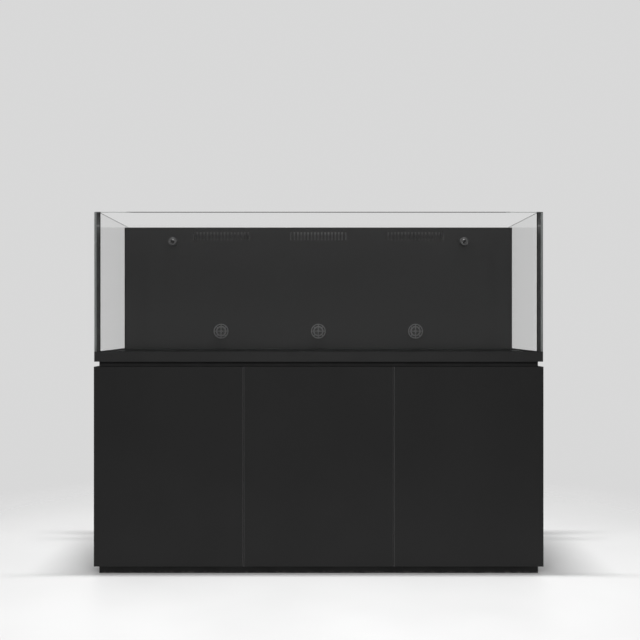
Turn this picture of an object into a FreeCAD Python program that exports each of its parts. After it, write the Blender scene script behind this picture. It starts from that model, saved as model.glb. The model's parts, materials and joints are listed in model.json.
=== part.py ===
"""Aquarium on a cabinet stand: a rimless glass tank with a rear filter chamber, on a
three-door cabinet.  Millimetres, +X right as seen from the front, the doors face -Y, +Z up.
The origin is on the floor under the middle of the cabinet."""
import FreeCAD, Part
import math
import os
from FreeCAD import Vector

X_AXIS = Vector(1, 0, 0)
Y_AXIS = Vector(0, 1, 0)
Z_AXIS = Vector(0, 0, 1)

# ---- driving dimensions: overall -------------------------------------------------------
WIDTH = 1800.0
DEPTH = 600.0
HEIGHT = 1450.0
EPS = 1.0                       # overrun of a cutting tool past the face it opens

# ---- cabinet ---------------------------------------------------------------------------
BOARD = 18.0                    # all carcass boards and the doors
PLINTH_HEIGHT = 30.0
PLINTH_INSET = 18.0
CARCASS_TOP = 830.0
DOOR_GAP = 3.0                  # between two doors
DOOR_STANDOFF = 4.0             # behind a closed door: room for the push-to-open travel
DOOR_EDGE_RADIUS = 1.5
BACK_RAIL_HEIGHT = 60.0
SERVICE_SLOT = 120.0            # open strip in the back for cables
GROMMET_HOLE_R = 30.0
GROMMET_FLANGE_R = 35.0
GROMMET_BORE_R = 25.0
GROMMET_LIP = 2.0
GROMMET_Z = 700.0
GROMMET_Y = 180.0
CAM_R = 7.5
CAM_DEPTH = 12.5
CAM_INSET = 34.0
CAM_ROWS = (-200.0, 0.0, 200.0)
CAM_SLOT_HALF = (4.0, 1.0)      # driver slot, half its length and half its width
CAM_SLOT_DEPTH = 2.0
RISER_HEIGHT = 20.0

# ---- concealed hinges, in door axes: a = from the door's hinged edge, b = out of the carcass
HINGE_HEIGHTS = (130.0, 430.0, 730.0)
CUP_CENTRE_A = 22.5
CUP_R = 17.5
CUP_WALL = 1.0
CUP_DEPTH = 12.0
CUP_FLANGE_R = 19.5
CUP_FLANGE_THICK = 1.2
CUP_WING_HALF = 27.0
CUP_WING_WIDTH = 13.0
CUP_SCREW_R = 3.2
CUP_SCREW_HEAD = 0.8
CUP_SCREW_FROM_END = 5.5
PIVOT_A = 9.0                   # turning centre of the door
PIVOT_B = 16.0
LINK_ROOT = (31.0, 5.9)         # link pin in the arm
LINK_BEND = (21.0, 13.1)        # crank that clears the edge of the door when it is open
LINK_TIP = (11.4, 10.8)         # link barrel in the cup
LINK_THICK = 2.0
LINK_HALF = 5.0
LINK_ROOT_R = 3.0
LINK_TIP_R = 1.9
LINK_PIN_R = 1.5
LINK_PIN_CLEARANCE = 0.05
CHEEK_GAP = 0.4
CHEEK_THICK = 1.8
CHEEK_A = (27.2, 35.0)
CHEEK_B = (9.4, -8.0)
ARM_A0 = 23.0
ARM_FRONT_B = -4.0
ARM_LENGTH = 62.0
ARM_WALL = 1.8
PLATE_HALF = 17.0
PLATE_REACH = (22.0, 58.0)
PLATE_SCREW_R = 3.5
PLATE_SCREW_HEAD = 1.5
PLATE_SCREW_FROM_END = 5.0
EAR_THICK = 1.2

# ---- magnetic push latches -------------------------------------------------------------
LATCH_FROM_EDGE = 44.0          # centre of the latch from the door's free edge
LATCH_HALF = 8.0
LATCH_FRONT = 3.0               # housing face behind the carcass edge
LATCH_LENGTH = 66.0
LATCH_END_WALL = 4.0
PLUNGER_R = 4.5
PLUNGER_CLEARANCE = 0.3
PLUNGER_LENGTH = 52.0
PLUNGER_TIP_GAP = 0.3
PLUNGER_MAGNET = 2.0            # length of the magnet at its tip
PLUNGER_MAGNET_STEP = 1.0       # how much thinner the magnet is
STRIKE_THICK = 1.5
STRIKE_HALF = 11.0

# ---- tank ------------------------------------------------------------------------------
TRIM_INSET = 1.5                # base trim and panes behind the cabinet outline
TRIM_WALL = 2.0
TRIM_HEIGHT = 40.0
TRIM_FLANGE = 30.0
TRIM_FLANGE_THICK = 1.5
BASE_BOARD_THICK = 12.0
FOAM_THICK = 6.0
GLASS = 19.0
SEAM = 1.5                      # thickness of the silicone between two panes
SEAM_WIDTH = 12.5               # of the 19 mm pane edge that the silicone covers
BEAD = 3.5
WEIR_THICK = 8.0
WEIR_FROM_FRONT_PANE = 469.5
WEIR_BELOW_RIM = 10.0

# ---- weir combs, strainers, nozzles ----------------------------------------------------
STATIONS = (-442.0, 0.0, 442.0)
COMB_SLOTS = 17
COMB_PITCH = 15.5
COMB_SLOT_WIDTH = 7.5
COMB_BOTTOM_Z = 1382.0
COMB_TOP_Z = 1419.0
STRAINER_Z = 969.0
STRAINER_R = 33.5
STRAINER_RIM = 4.5
STRAINER_THICK = 5.0
STRAINER_TUBE_R = 24.0
STRAINER_INNER_R = 21.5
STRAINER_INNER_RIM = 4.0
STRAINER_BOSS_R = 6.0
STRAINER_SPOKE = 4.0
SPOKE_SETBACK = 1.0             # behind the rims
SPOKE_OVERLAP = 1.0             # into the rims
STRAINER_OUTER_SPOKES = 8
STRAINER_INNER_SPOKES = 4
STRAINER_TUBE_WALL = 2.5
STRAINER_NUT_R = 34.0
STEM_PAST_NUT = 6.0             # how far a threaded stem stands out behind its nut
STEM_OVERLAP = 1.0              # how far it runs into its own flange
NUT_THICK = 10.0
NOZZLE_X = 661.0
NOZZLE_Z = 1376.0
NOZZLE_TUBE_R = 15.0
NOZZLE_FLANGE_R = 20.5
NOZZLE_FLANGE_THICK = 3.0
NOZZLE_NUT_R = 24.0
NOZZLE_STEM_PAST_NUT = 9.0
NOZZLE_BORE_R = 8.0
RING_R = 18.5
RING_LENGTH = 14.2
RING_EDGE_RADIUS = 1.2
RING_GRIPS = 12
RING_GRIP_R = 1.1
RING_GRIP_START = 3.0           # behind the front of the collar
BALL_R = 13.0
BALL_CLEARANCE = 0.3
BALL_FROM_PANEL = 10.0
TIP_R = 6.5
TIP_BORE_R = 4.75
TIP_TAPER = 1.2
TIP_REACH = 21.0
HOLE_CLEARANCE = 0.3

# ---- rear filter chamber ---------------------------------------------------------------
INNER_BAFFLE_X = 220.0
OUTER_BAFFLE_X = 600.0
BAFFLE_FLOOR_GAP = 60.0
INNER_BAFFLE_TOP = 1430.0
OUTER_BAFFLE_TOP = 1330.0
LEDGE_DEPTH = 12.0
LEDGE_THICK = 6.0
LEDGE_SHORTER = 10.0            # than the basket at each end
BASKET_HALF = 128.0
BASKET_Y = (204.0, 272.0)
BASKET_BOTTOM = 1130.3
BASKET_OFF_LEDGE = 0.3
BASKET_TOP = 1428.0
BASKET_FRONT_TOP = 1370.0
BASKET_WALL = 3.0
BASKET_BARS = 9
BASKET_GRIP_HALF = 20.0          # finger slots in the two end walls
BASKET_GRIP_HEIGHT = 14.0
BASKET_GRIP_Z = 1400.0

# ---- return pumps and pipes ------------------------------------------------------------
RETURN_Y = 240.0
PUMP_FOOT_HEIGHT = 8.0
PUMP_FOOT_R = 7.0
PUMP_FOOT_FROM_END = 12.0
PUMP_FOOT_OFFSET = 15.0
PUMP_BODY_HALF_DEPTH = 28.0
PUMP_BODY_HALF_HEIGHT = 37.0
PUMP_BODY_LENGTH = 82.0
PUMP_BODY_RADIUS = 8.0
PUMP_FINS = 6
PUMP_FIN_WIDTH = 3.0
PUMP_FIN_MARGIN = 13.0
PUMP_FIN_DEPTH = 2.5
VOLUTE_R = 27.0
VOLUTE_HALF = 13.0
VOLUTE_BORE_R = 22.0
VOLUTE_WALL = 3.0
PUMP_SPIGOT_R = 12.8
PUMP_SPIGOT_TOP = 52.0
COVER_THICK = 5.0
CAGE_R = 19.0
CAGE_LENGTH = 30.0
CAGE_WALL = 2.5
CAGE_SLOTS = 10
CAGE_SLOT = 5.0
CAGE_SLOT_MARGIN = 5.0
INTAKE_R = 9.0
ROTOR_R = 8.0
ROTOR_LENGTH = 50.0
ROTOR_CLEARANCE = 0.6
IMPELLER_R = 19.0
IMPELLER_DISC = 2.0
IMPELLER_CLEARANCE = 1.0
IMPELLER_HUB_R = 5.0
IMPELLER_BLADES = 6
IMPELLER_BLADE_LENGTH = 12.0
IMPELLER_BLADE_THICK = 1.8
IMPELLER_BLADE_START = 4.0      # from the axis, inside the hub
PIPE_R = 10.0
PIPE_BORE_R = 8.0
PIPE_FIT = 0.05
PIPE_INSERT = 15.0
PIPE_END_GAP = 3.0              # above the pipe inside the elbow
ELBOW_R = 13.5
ELBOW_SPIGOT = 9.0              # how far the elbow runs into the nozzle's tube
ELBOW_SPIGOT_WALL = 2.0

# ---- derived places --------------------------------------------------------------------
HALF_WIDTH = WIDTH / 2
HALF_DEPTH = DEPTH / 2
CARCASS_FRONT = -HALF_DEPTH + BOARD + DOOR_STANDOFF
DOOR_BACK = -HALF_DEPTH + BOARD
DOOR_WIDTH = (WIDTH - 2 * DOOR_GAP) / 3
SEAM_X = DOOR_WIDTH / 2 + DOOR_GAP / 2
SIDE_INNER = HALF_WIDTH - BOARD
TANK_BOTTOM = CARCASS_TOP + RISER_HEIGHT
TANK_FLOOR = TANK_BOTTOM + TRIM_HEIGHT
FLOOR_GLASS_TOP = TANK_FLOOR - SEAM
PANE_X = HALF_WIDTH - TRIM_INSET    # outer faces of the upright panes, flush with the trim
PANE_Y = HALF_DEPTH - TRIM_INSET
BASE_X = PANE_X - TRIM_WALL         # base board, foam and floor pane, inside the trim
BASE_Y = PANE_Y - TRIM_WALL
INNER_X = PANE_X - GLASS
INNER_Y = PANE_Y - GLASS
WEIR_Y0 = -INNER_Y + WEIR_FROM_FRONT_PANE
WEIR_Y1 = WEIR_Y0 + WEIR_THICK
WEIR_TOP = HEIGHT - WEIR_BELOW_RIM
WEIR_END = INNER_X - SEAM
BALL_Y = WEIR_Y0 - BALL_FROM_PANEL
PUMP_AXIS_Z = FLOOR_GLASS_TOP + PUMP_FOOT_HEIGHT + PUMP_BODY_HALF_HEIGHT
PIPE_BOTTOM = PUMP_AXIS_Z + PUMP_SPIGOT_TOP - PIPE_INSERT
ELBOW_BOTTOM = NOZZLE_Z - 2 * ELBOW_R
PIPE_TOP = ELBOW_BOTTOM + PIPE_INSERT - PIPE_END_GAP

# name, x of the hinged edge, direction of the door from it, x of the board that carries the hinges
DOORS = (
    ("left", -HALF_WIDTH, 1, -SIDE_INNER),
    ("centre", -DOOR_WIDTH / 2, 1, -SEAM_X + BOARD / 2),
    ("right", HALF_WIDTH, -1, SIDE_INNER),
)


# ---- helpers ---------------------------------------------------------------------------
def box(x, y, z):
    """A box from its (low, high) ranges, given in any order."""
    lows = [min(span) for span in (x, y, z)]
    sizes = [max(span) - min(span) for span in (x, y, z)]
    return Part.makeBox(*sizes, Vector(*lows))


def rod(radius, start, axis, length):
    return Part.makeCylinder(radius, length, Vector(*start), axis)


def tube(outer, inner, start, axis, length):
    return rod(outer, start, axis, length).cut(rod(inner, start, axis, length))


def join(shapes):
    """Fuses the shapes into one solid."""
    result = shapes[0].fuse(shapes[1:]) if len(shapes) > 1 else shapes[0]
    return result.removeSplitter()


def group(shapes):
    """Keeps the shapes as separate solids of one node."""
    return Part.makeCompound(shapes)


def turned(shape, centre, axis, degrees):
    copy = shape.copy()
    copy.rotate(Vector(*centre), axis, degrees)
    return copy


def mirrored_x(shape):
    return shape.mirror(Vector(0, 0, 0), X_AXIS)


def pair(shape):
    """The shape and its mirror image on the other side of the middle plane."""
    return [mirrored_x(shape), shape]


def rounded(shape, radius, wanted):
    """Rounds the edges whose bounding box passes the test."""
    return shape.makeFillet(radius, [edge for edge in shape.Edges if wanted(edge.BoundBox)])


def hexagon_nut(radius, bore, start, length):
    """A six-sided nut along +Y; radius is across the corners."""
    x, y, z = start
    corners = []
    for index in range(7):
        angle = math.radians(60 * index)
        corners.append(Vector(x + radius * math.cos(angle), y, z + radius * math.sin(angle)))
    prism = Part.Face(Part.makePolygon(corners)).extrude(Vector(0, length, 0))
    return prism.cut(rod(bore, start, Y_AXIS, length))


def ring_of(shape, centre, axis, count):
    return [turned(shape, centre, axis, 360.0 * index / count) for index in range(count)]


# ---- cabinet ---------------------------------------------------------------------------
def plinth():
    x = HALF_WIDTH - PLINTH_INSET
    y = HALF_DEPTH - PLINTH_INSET
    z = (0, PLINTH_HEIGHT)
    cross = []
    for centre in (-x + BOARD / 2, -SEAM_X, SEAM_X, x - BOARD / 2):
        cross.append(box((centre - BOARD / 2, centre + BOARD / 2), (-y + BOARD, y - BOARD), z))
    return {
        "plinth_front": box((-x, x), (-y, -y + BOARD), z),
        "plinth_back": box((-x, x), (y - BOARD, y), z),
        "plinth_cross_boards": group(cross),
    }


def cam_seats(z, direction):
    """Cylinders of the cam locks sunk in a panel whose face is at z."""
    cams = []
    for side in (-1, 1):
        for y in CAM_ROWS:
            cams.append(rod(CAM_R, (side * (SIDE_INNER - CAM_INSET), y, z), Z_AXIS * direction, CAM_DEPTH))
    return cams


def carcass():
    inner = (PLINTH_HEIGHT + BOARD, CARCASS_TOP - BOARD)
    back = HALF_DEPTH - BOARD
    y = (CARCASS_FRONT, back)
    full = (PLINTH_HEIGHT, CARCASS_TOP)
    low_cams = cam_seats(inner[0], -1)
    high_cams = cam_seats(inner[1], 1)
    across = (-SIDE_INNER, SIDE_INNER)
    bottom = box(across, y, (PLINTH_HEIGHT, inner[0])).cut(low_cams)
    top = box(across, y, (inner[1], CARCASS_TOP)).cut(high_cams)
    rail_bottom = CARCASS_TOP - BACK_RAIL_HEIGHT
    parts = {
        "bottom_panel": bottom,
        "top_panel": top,
        "back_panel": box(across, (back, HALF_DEPTH), (PLINTH_HEIGHT, rail_bottom - SERVICE_SLOT)),
        "back_rail": box(across, (back, HALF_DEPTH), (rail_bottom, CARCASS_TOP)),
    }
    sockets = []
    for cam in low_cams + high_cams:
        centre = cam.BoundBox.Center
        face = inner[0] if centre.z < CARCASS_TOP / 2 else inner[1]
        inward = -1 if centre.z < CARCASS_TOP / 2 else 1
        half_length, half_width = CAM_SLOT_HALF
        slot = box((centre.x - half_length, centre.x + half_length),
                   (centre.y - half_width, centre.y + half_width), (face, face + inward * CAM_SLOT_DEPTH))
        sockets.append(cam.cut(slot))
    parts["cam_locks"] = group(sockets)
    grommets = []
    for name, side in (("left", -1), ("right", 1)):
        side_x = (side * SIDE_INNER, side * HALF_WIDTH)
        parts[name + "_side_panel"] = box(side_x, (CARCASS_FRONT, HALF_DEPTH), full)
        x0 = side * SEAM_X - BOARD / 2
        hole = rod(GROMMET_HOLE_R, (x0 - EPS, GROMMET_Y, GROMMET_Z), X_AXIS, BOARD + 2 * EPS)
        parts[name + "_partition"] = box((x0, x0 + BOARD), y, inner).cut(hole)
        grommets.append(grommet(x0))
    parts["cable_grommets"] = group(grommets)
    inset = PLINTH_INSET
    parts["riser_board"] = box((-HALF_WIDTH + inset, HALF_WIDTH - inset),
                               (-HALF_DEPTH + inset, HALF_DEPTH - inset), (CARCASS_TOP, TANK_BOTTOM))
    return parts


def grommet(x0):
    """A lipped ring that lines the cable hole of a partition whose left face is at x0."""
    lip = GROMMET_LIP
    centre = (GROMMET_Y, GROMMET_Z)
    body = rod(GROMMET_HOLE_R, (x0 - lip, *centre), X_AXIS, BOARD + 2 * lip)
    lips = [rod(GROMMET_FLANGE_R, (x, *centre), X_AXIS, lip) for x in (x0 - lip, x0 + BOARD)]
    bore = rod(GROMMET_BORE_R, (x0 - lip - EPS, *centre), X_AXIS, BOARD + 2 * (lip + EPS))
    return join([body] + lips).cut(bore)


# ---- doors, hinges and latches ---------------------------------------------------------
class DoorFrame:
    """Turns hinge coordinates (a from the hinged edge, b out of the carcass) into x and y."""

    def __init__(self, edge, way):
        self.edge = edge
        self.way = way

    def x(self, a):
        return self.edge + self.way * a

    def y(self, b):
        return CARCASS_FRONT - b

    def box(self, a, b, z):
        return box([self.x(v) for v in a], [self.y(v) for v in b], z)

    def pin(self, radius, a, b, z):
        return rod(radius, (self.x(a), self.y(b), z[0]), Z_AXIS, z[1] - z[0])


def door_board(frame):
    z = (PLINTH_HEIGHT, CARCASS_TOP)
    front = DOOR_STANDOFF + BOARD
    board = frame.box((0, DOOR_WIDTH), (DOOR_STANDOFF, front), z)
    board = rounded(board, DOOR_EDGE_RADIUS, lambda bounds: bounds.YMax < -HALF_DEPTH + EPS / 2)
    for height in HINGE_HEIGHTS:
        mouth = (frame.x(CUP_CENTRE_A), DOOR_BACK + EPS, height)
        board = board.cut(rod(CUP_R, mouth, -Y_AXIS, CUP_DEPTH + EPS))
    return board


def hinge_cup(frame, height):
    """The cup sunk in the door, with its flange, two ears for the link and two screws."""
    centre = (frame.x(CUP_CENTRE_A), DOOR_BACK, height)
    flange_b = (DOOR_STANDOFF - CUP_FLANGE_THICK, DOOR_STANDOFF)
    wing_a = (CUP_CENTRE_A - CUP_WING_WIDTH / 2, CUP_CENTRE_A + CUP_WING_WIDTH / 2)
    cup = join([
        rod(CUP_R, centre, -Y_AXIS, CUP_DEPTH),
        rod(CUP_FLANGE_R, centre, Y_AXIS, CUP_FLANGE_THICK),
        frame.box(wing_a, flange_b, (height - CUP_WING_HALF, height + CUP_WING_HALF)),
    ])
    hollow = rod(CUP_R - CUP_WALL, (centre[0], DOOR_BACK + CUP_FLANGE_THICK + EPS, height), -Y_AXIS,
                 CUP_DEPTH - CUP_WALL + CUP_FLANGE_THICK + EPS)
    cup = cup.cut(hollow)
    inside = rod(CUP_R - CUP_WALL / 2, centre, -Y_AXIS, CUP_DEPTH - CUP_WALL / 2)
    ear_offset = LINK_HALF + CHEEK_GAP
    pieces = [cup]
    for side in (-1, 1):
        ear_z = (height + side * ear_offset, height + side * (ear_offset + EAR_THICK))
        ear_a = (CUP_CENTRE_A - CUP_R, LINK_TIP[0] + LINK_TIP_R)
        ear_b = (LINK_TIP[1] - LINK_TIP_R, DOOR_STANDOFF + CUP_DEPTH - CUP_WALL / 2)
        pieces.append(frame.box(ear_a, ear_b, ear_z).common(inside))
        head = (centre[0], DOOR_BACK + CUP_FLANGE_THICK, height + side * (CUP_WING_HALF - CUP_SCREW_FROM_END))
        pieces.append(rod(CUP_SCREW_R, head, Y_AXIS, CUP_SCREW_HEAD))
    return join(pieces)


def link_bar(frame, start, end, z):
    """A flat bar between two points of the hinge plane."""
    a0, b0 = start
    a1, b1 = end
    length = math.hypot(a1 - a0, b1 - b0)
    across = (-(b1 - b0) / length * LINK_THICK / 2, (a1 - a0) / length * LINK_THICK / 2)
    outline = []
    for a, b, sign in ((a0, b0, 1), (a1, b1, 1), (a1, b1, -1), (a0, b0, -1), (a0, b0, 1)):
        outline.append(Vector(frame.x(a + sign * across[0]), frame.y(b + sign * across[1]), z[0]))
    return Part.Face(Part.makePolygon(outline)).extrude(Vector(0, 0, z[1] - z[0]))


def hinge_link(frame, height):
    """The cranked link between the arm's pin and the cup."""
    z = (height - LINK_HALF, height + LINK_HALF)
    link = join([
        link_bar(frame, LINK_ROOT, LINK_BEND, z),
        link_bar(frame, LINK_BEND, LINK_TIP, z),
        frame.pin(LINK_ROOT_R, *LINK_ROOT, z),
        frame.pin(LINK_THICK / 2, *LINK_BEND, z),
        frame.pin(LINK_TIP_R, *LINK_TIP, z),
    ])
    return link.cut(frame.pin(LINK_PIN_R + LINK_PIN_CLEARANCE, *LINK_ROOT, (z[0] - EPS, z[1] + EPS)))


def hinge_arm(frame, height, wall_a):
    """The arm fixed to the carcass board: mounting plate, channel, two cheeks and their pin."""
    inner = LINK_HALF + CHEEK_GAP
    outer = inner + CHEEK_THICK
    span = (height - outer, height + outer)
    channel = frame.box((ARM_A0, CHEEK_A[1]), (ARM_FRONT_B, -ARM_LENGTH), span)
    groove = frame.box((ARM_A0 - EPS, CHEEK_A[1] - ARM_WALL), (EPS, -ARM_LENGTH + ARM_WALL),
                       (height - inner, height + inner))
    pieces = [channel.cut(groove)]
    for side in (-1, 1):
        pieces.append(frame.box(CHEEK_A, CHEEK_B, (height + side * inner, height + side * outer)))
        middle = -(PLATE_REACH[0] + PLATE_REACH[1]) / 2
        head = (frame.x(ARM_A0), frame.y(middle), height + side * (PLATE_HALF - PLATE_SCREW_FROM_END))
        pieces.append(rod(PLATE_SCREW_R, head, X_AXIS * frame.way, PLATE_SCREW_HEAD))
    pieces.append(frame.box((wall_a, ARM_A0), (-PLATE_REACH[0], -PLATE_REACH[1]),
                            (height - PLATE_HALF, height + PLATE_HALF)))
    pieces.append(frame.pin(LINK_PIN_R, *LINK_ROOT, span))
    return join(pieces)


def doors():
    parts = {}
    arms = []
    housings = []
    for name, edge, way, board_x in DOORS:
        frame = DoorFrame(edge, way)
        parts[name + "_door"] = door_board(frame)
        parts[name + "_hinge_cups"] = group([hinge_cup(frame, z) for z in HINGE_HEIGHTS])
        parts[name + "_hinge_links"] = group([hinge_link(frame, z) for z in HINGE_HEIGHTS])
        wall_a = (board_x - edge) * way
        arms += [hinge_arm(frame, z, wall_a) for z in HINGE_HEIGHTS]
        housing, plunger, strike = push_latch(frame)
        housings.append(housing)
        parts[name + "_latch_plunger"] = plunger
        parts[name + "_strike_plate"] = strike
    parts["hinge_arms"] = group(arms)
    parts["latch_housings"] = group(housings)
    return parts


def push_latch(frame):
    """The latch housing under the top panel, its plunger, and the strike plate on the door."""
    a = DOOR_WIDTH - LATCH_FROM_EDGE
    z = CARCASS_TOP - BOARD - LATCH_HALF
    across = (a - LATCH_HALF, a + LATCH_HALF)
    front_b = -LATCH_FRONT
    housing = frame.box(across, (front_b, front_b - LATCH_LENGTH), (z - LATCH_HALF, z + LATCH_HALF))
    bore_start = (frame.x(a), frame.y(front_b) - EPS, z)
    bore = rod(PLUNGER_R + PLUNGER_CLEARANCE, bore_start, Y_AXIS, LATCH_LENGTH - LATCH_END_WALL)
    housing = housing.cut(bore)
    strike_back = DOOR_BACK + STRIKE_THICK
    tip_y = strike_back + PLUNGER_TIP_GAP
    shaft = rod(PLUNGER_R, (frame.x(a), tip_y + PLUNGER_MAGNET, z), Y_AXIS, PLUNGER_LENGTH)
    magnet = rod(PLUNGER_R - PLUNGER_MAGNET_STEP, (frame.x(a), tip_y, z), Y_AXIS, PLUNGER_MAGNET)
    plunger = join([shaft, magnet])
    strike = box((frame.x(a - STRIKE_HALF), frame.x(a + STRIKE_HALF)), (DOOR_BACK, strike_back),
                 (z - LATCH_HALF, z + LATCH_HALF))
    return housing, plunger, strike


# ---- tank ------------------------------------------------------------------------------
def trim_bar(x, y, inward):
    """An angle trim: an upright wall over x and y, with a flange turned inward underneath."""
    wall = box(x, y, (TANK_BOTTOM, TANK_FLOOR))
    dx, dy = inward
    flange_x = (x[0] + min(dx, 0) * TRIM_FLANGE, x[1] + max(dx, 0) * TRIM_FLANGE)
    flange_y = (y[0] + min(dy, 0) * TRIM_FLANGE, y[1] + max(dy, 0) * TRIM_FLANGE)
    return join([wall, box(flange_x, flange_y, (TANK_BOTTOM, TANK_BOTTOM + TRIM_FLANGE_THICK))])


def tank_base():
    x = PANE_X
    y = PANE_Y
    board_z = TANK_BOTTOM + TRIM_FLANGE_THICK
    foam_z = board_z + BASE_BOARD_THICK
    inner_y = BASE_Y - TRIM_FLANGE
    full_side = box((BASE_X, x), (-BASE_Y, BASE_Y), (TANK_BOTTOM, TANK_FLOOR))
    side = join([trim_bar((BASE_X, x), (-inner_y, inner_y), (-1, 0)), full_side])
    footprint = ((-BASE_X, BASE_X), (-BASE_Y, BASE_Y))
    return {
        "front_base_trim": trim_bar((-x, x), (-y, -BASE_Y), (0, 1)).cut(trim_corner_cuts(-1)),
        "back_base_trim": trim_bar((-x, x), (BASE_Y, y), (0, -1)).cut(trim_corner_cuts(1)),
        "side_base_trims": group(pair(side)),
        "tank_base_board": box(*footprint, (board_z, foam_z)),
        "foam_mat": box(*footprint, (foam_z, foam_z + FOAM_THICK)),
        "bottom_glass": box(*footprint, (foam_z + FOAM_THICK, FLOOR_GLASS_TOP)),
    }


def trim_corner_cuts(side):
    """What the long trims' flanges leave free for the side trims."""
    y = (side * BASE_Y, side * (BASE_Y - TRIM_FLANGE - EPS))
    z = (TANK_BOTTOM - EPS, TANK_FLOOR + EPS)
    return [box((end * BASE_X, end * (PANE_X + EPS)), y, z) for end in (-1, 1)]


def panes():
    z = (TANK_FLOOR, HEIGHT)
    side = box((INNER_X, PANE_X), (-INNER_Y + SEAM, INNER_Y - SEAM), z)
    return {
        "front_glass": box((-PANE_X, PANE_X), (-PANE_Y, -INNER_Y), z),
        "back_glass": box((-PANE_X, PANE_X), (INNER_Y, PANE_Y), z),
        "left_glass": mirrored_x(side),
        "right_glass": side,
    }


def bead(corner, reach_x, reach_y, length, along):
    """A three-sided silicone bead in an inner corner, swept along +X, +Y or +Z."""
    x, y, z = corner
    if along == "z":
        points = [(x, y, z), (x + reach_x, y, z), (x, y + reach_y, z)]
        sweep = Vector(0, 0, length)
    elif along == "x":
        points = [(x, y, z), (x, y + reach_x, z), (x, y, z + reach_y)]
        sweep = Vector(length, 0, 0)
    else:
        points = [(x, y, z), (x + reach_x, y, z), (x, y, z + reach_y)]
        sweep = Vector(0, length, 0)
    corners = [Vector(*point) for point in points + points[:1]]
    return Part.Face(Part.makePolygon(corners)).extrude(sweep)


def silicone():
    """Seams between the panes, and the beads in the inner corners."""
    height = HEIGHT - TANK_FLOOR
    under = (FLOOR_GLASS_TOP, TANK_FLOOR)
    solids = []
    for side in (-1, 1):
        front = side * INNER_Y
        solids.append(box((-BASE_X, BASE_X), (side * BASE_Y, front), under))
        across = (side * INNER_X, side * BASE_X)
        solids.append(box(across, (-INNER_Y, INNER_Y), under))
        for end in (-1, 1):
            x = (side * INNER_X, side * (INNER_X + SEAM_WIDTH))
            solids.append(box(x, (end * INNER_Y, end * (INNER_Y - SEAM)), (TANK_FLOOR, HEIGHT)))
            corner = (side * INNER_X, end * INNER_Y, TANK_FLOOR)
            solids.append(bead(corner, -side * BEAD, -end * BEAD, height, "z"))
        solids.append(box((side * WEIR_END, side * INNER_X), (WEIR_Y0, WEIR_Y1), (TANK_FLOOR, WEIR_TOP)))
        corner = (side * INNER_X, WEIR_Y0, TANK_FLOOR)
        solids.append(bead(corner, -side * BEAD, -BEAD, WEIR_TOP - TANK_FLOOR, "z"))
        solids.append(bead((side * INNER_X, -INNER_Y + BEAD, FLOOR_GLASS_TOP), -side * BEAD, BEAD,
                           WEIR_FROM_FRONT_PANE - 2 * BEAD, "y"))
    inner_length = 2 * (INNER_X - BEAD)
    for y, reach in ((-INNER_Y, BEAD), (WEIR_Y0, -BEAD)):
        solids.append(bead((-INNER_X + BEAD, y, FLOOR_GLASS_TOP), reach, BEAD, inner_length, "x"))
    solids.append(box((-WEIR_END, WEIR_END), (WEIR_Y0, WEIR_Y1), under))
    return {"silicone_seams": group(solids)}


def weir_panel():
    panel = box((-WEIR_END, WEIR_END), (WEIR_Y0, WEIR_Y1), (TANK_FLOOR, WEIR_TOP))
    cuts = []
    y = (WEIR_Y0 - EPS, WEIR_Y1 + EPS)
    through = WEIR_THICK + 2 * EPS
    for station in STATIONS:
        for index in range(COMB_SLOTS):
            centre = station + (index - (COMB_SLOTS - 1) / 2) * COMB_PITCH
            slot = (centre - COMB_SLOT_WIDTH / 2, centre + COMB_SLOT_WIDTH / 2)
            cuts.append(box(slot, y, (COMB_BOTTOM_Z, COMB_TOP_Z)))
        cuts.append(rod(STRAINER_TUBE_R + HOLE_CLEARANCE, (station, y[0], STRAINER_Z), Y_AXIS, through))
    for x in (-NOZZLE_X, NOZZLE_X):
        cuts.append(rod(NOZZLE_TUBE_R + HOLE_CLEARANCE, (x, y[0], NOZZLE_Z), Y_AXIS, through))
    return {"weir_panel": panel.cut(cuts)}


def rear_baffles():
    """Walls between the filter sections, and the ledges that the baskets stand on."""
    y = (WEIR_Y1, INNER_Y)
    half = WEIR_THICK / 2
    solids = []
    for side in (-1, 1):
        inner = side * INNER_BAFFLE_X
        outer = side * OUTER_BAFFLE_X
        low = (FLOOR_GLASS_TOP + BAFFLE_FLOOR_GAP, INNER_BAFFLE_TOP)
        solids.append(box((inner - half, inner + half), y, low))
        solids.append(box((outer - half, outer + half), y, (FLOOR_GLASS_TOP, OUTER_BAFFLE_TOP)))
    ledge_top = BASKET_BOTTOM - BASKET_OFF_LEDGE
    ledge_z = (ledge_top - LEDGE_THICK, ledge_top)
    ledge_half = BASKET_HALF - LEDGE_SHORTER
    for station in STATIONS:
        across = (station - ledge_half, station + ledge_half)
        solids.append(box(across, (WEIR_Y1, WEIR_Y1 + LEDGE_DEPTH), ledge_z))
        solids.append(box(across, (INNER_Y - LEDGE_DEPTH, INNER_Y), ledge_z))
    return {"rear_baffles": group(solids)}


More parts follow.
